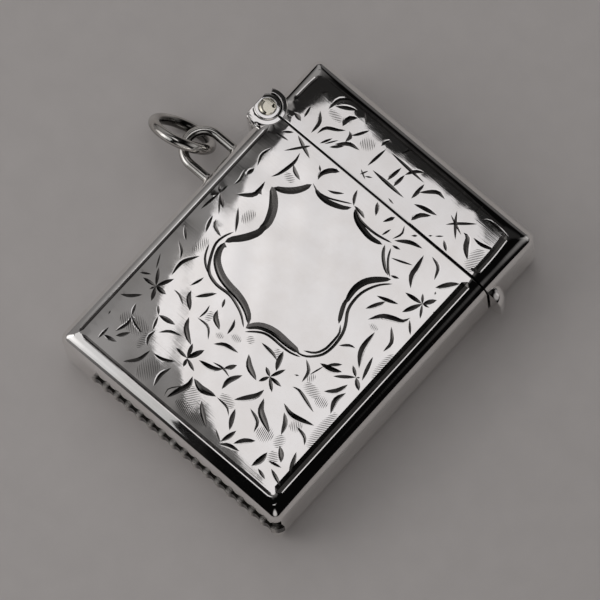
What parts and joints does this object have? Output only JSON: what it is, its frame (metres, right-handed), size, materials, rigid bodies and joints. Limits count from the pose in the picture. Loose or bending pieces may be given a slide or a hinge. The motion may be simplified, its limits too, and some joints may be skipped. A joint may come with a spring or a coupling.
{
  "type": "vesta case",
  "caption": "Flat pillow-edged silver match case with an engraved front, a hinged lid with a thumbpiece, a ribbed striker on its base and a chain ring on a side loop.",
  "frame": {"origin": "middle of the flat back face, which lies on the table", "axes": "+X from the hinge side to the thumbpiece side, +Y from the striker end to the lid end, +Z from the back face to the engraved front"},
  "size_m": [0.0475, 0.0465, 0.01],
  "materials": {
    "silver": "polished sterling silver, lightly worn",
    "striker": "silver, darkened between the ribs",
    "pin": "pale base metal, filed flush"
  },
  "bodies": {
    "case": {"body_front": "silver", "body_back": "silver", "striker_band": "striker", "mouth_bezel": "silver", "body_bearer": "silver", "body_knuckle_front": "silver", "body_knuckle_back": "silver", "hinge_pin": "pin", "suspension_loop": "silver"},
    "lid": {"lid_front": "silver", "lid_back": "silver", "lid_bearer": "silver", "lid_knuckle": "silver", "thumbpiece": "silver"},
    "ring": {"jump_ring": "silver"}
  },
  "joints": [
    {"name": "lid_hinge", "type": "hinge", "parent": "case", "child": "lid", "pos_m": [-0.0173, 0.0141, 0.005], "axis": [0, 0, 1], "range_deg": [0, 95]},
    {"name": "ring_swing", "type": "hinge", "parent": "case", "child": "ring", "pos_m": [-0.023, 0.0061, 0.005], "axis": [-0.173, 0.839, 0.516], "range_deg": [-10, 150]}
  ]
}
